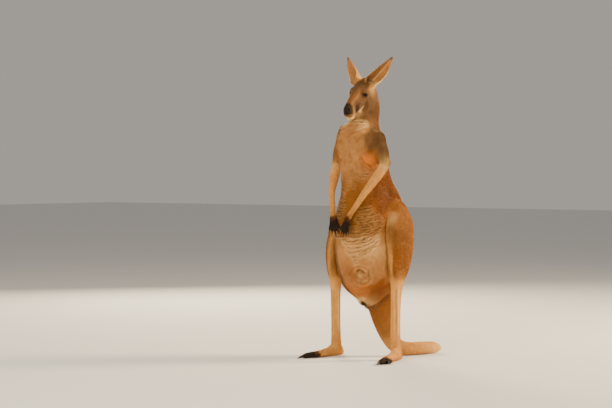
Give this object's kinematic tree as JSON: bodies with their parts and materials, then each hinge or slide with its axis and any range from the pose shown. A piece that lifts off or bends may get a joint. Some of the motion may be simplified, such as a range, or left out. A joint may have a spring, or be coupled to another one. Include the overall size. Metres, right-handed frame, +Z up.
{
  "type": "red kangaroo model",
  "caption": "Life-size still model of a red kangaroo standing upright on its hind feet and tail, head turned down and forearms held before the belly.",
  "frame": {"origin": "on the floor, under the middle of the box round the animal", "axes": "+Z up, -Y the way the animal faces, +X towards its left side"},
  "size_m": [0.5922, 0.8028, 1.6433],
  "materials": {
    "tan_fur": "short, flat-lying reddish tan coat",
    "rust_fur": "short, flat-lying rusty brown coat, paler on the pouch",
    "pale_fur": "very short pale cream and tan coat",
    "dark_fur": "very short black-brown coat",
    "claw": "dark horn with a faint sheen",
    "eye": "wet dark brown"
  },
  "bodies": {
    "root": {"ear_left": "tan_fur", "ear_right": "tan_fur", "eye_left": "eye", "eye_right": "eye", "foot_left": "tan_fur", "foot_right": "tan_fur", "forearm_left": "pale_fur", "forearm_right": "pale_fur", "hand_claw_left_1": "claw", "hand_claw_left_2": "claw", "hand_claw_left_3": "claw", "hand_claw_left_4": "claw", "hand_claw_left_5": "claw", "hand_claw_right_1": "claw", "hand_claw_right_2": "claw", "hand_claw_right_3": "claw", "hand_claw_right_4": "claw", "hand_claw_right_5": "claw", "hand_left": "dark_fur", "hand_right": "dark_fur", "head": "tan_fur", "neck": "tan_fur", "shank_left": "pale_fur", "shank_right": "pale_fur", "tail_end": "tan_fur", "tail_middle": "tan_fur", "tail_root": "tan_fur", "thigh_left": "tan_fur", "thigh_right": "tan_fur", "toe_claw_left_grooming_a": "claw", "toe_claw_left_grooming_b": "claw", "toe_claw_left_long": "claw", "toe_claw_left_outer": "claw", "toe_claw_right_grooming_a": "claw", "toe_claw_right_grooming_b": "claw", "toe_claw_right_long": "claw", "toe_claw_right_outer": "claw", "trunk": "rust_fur", "upper_arm_left": "tan_fur", "upper_arm_right": "tan_fur"}
  },
  "joints": []
}
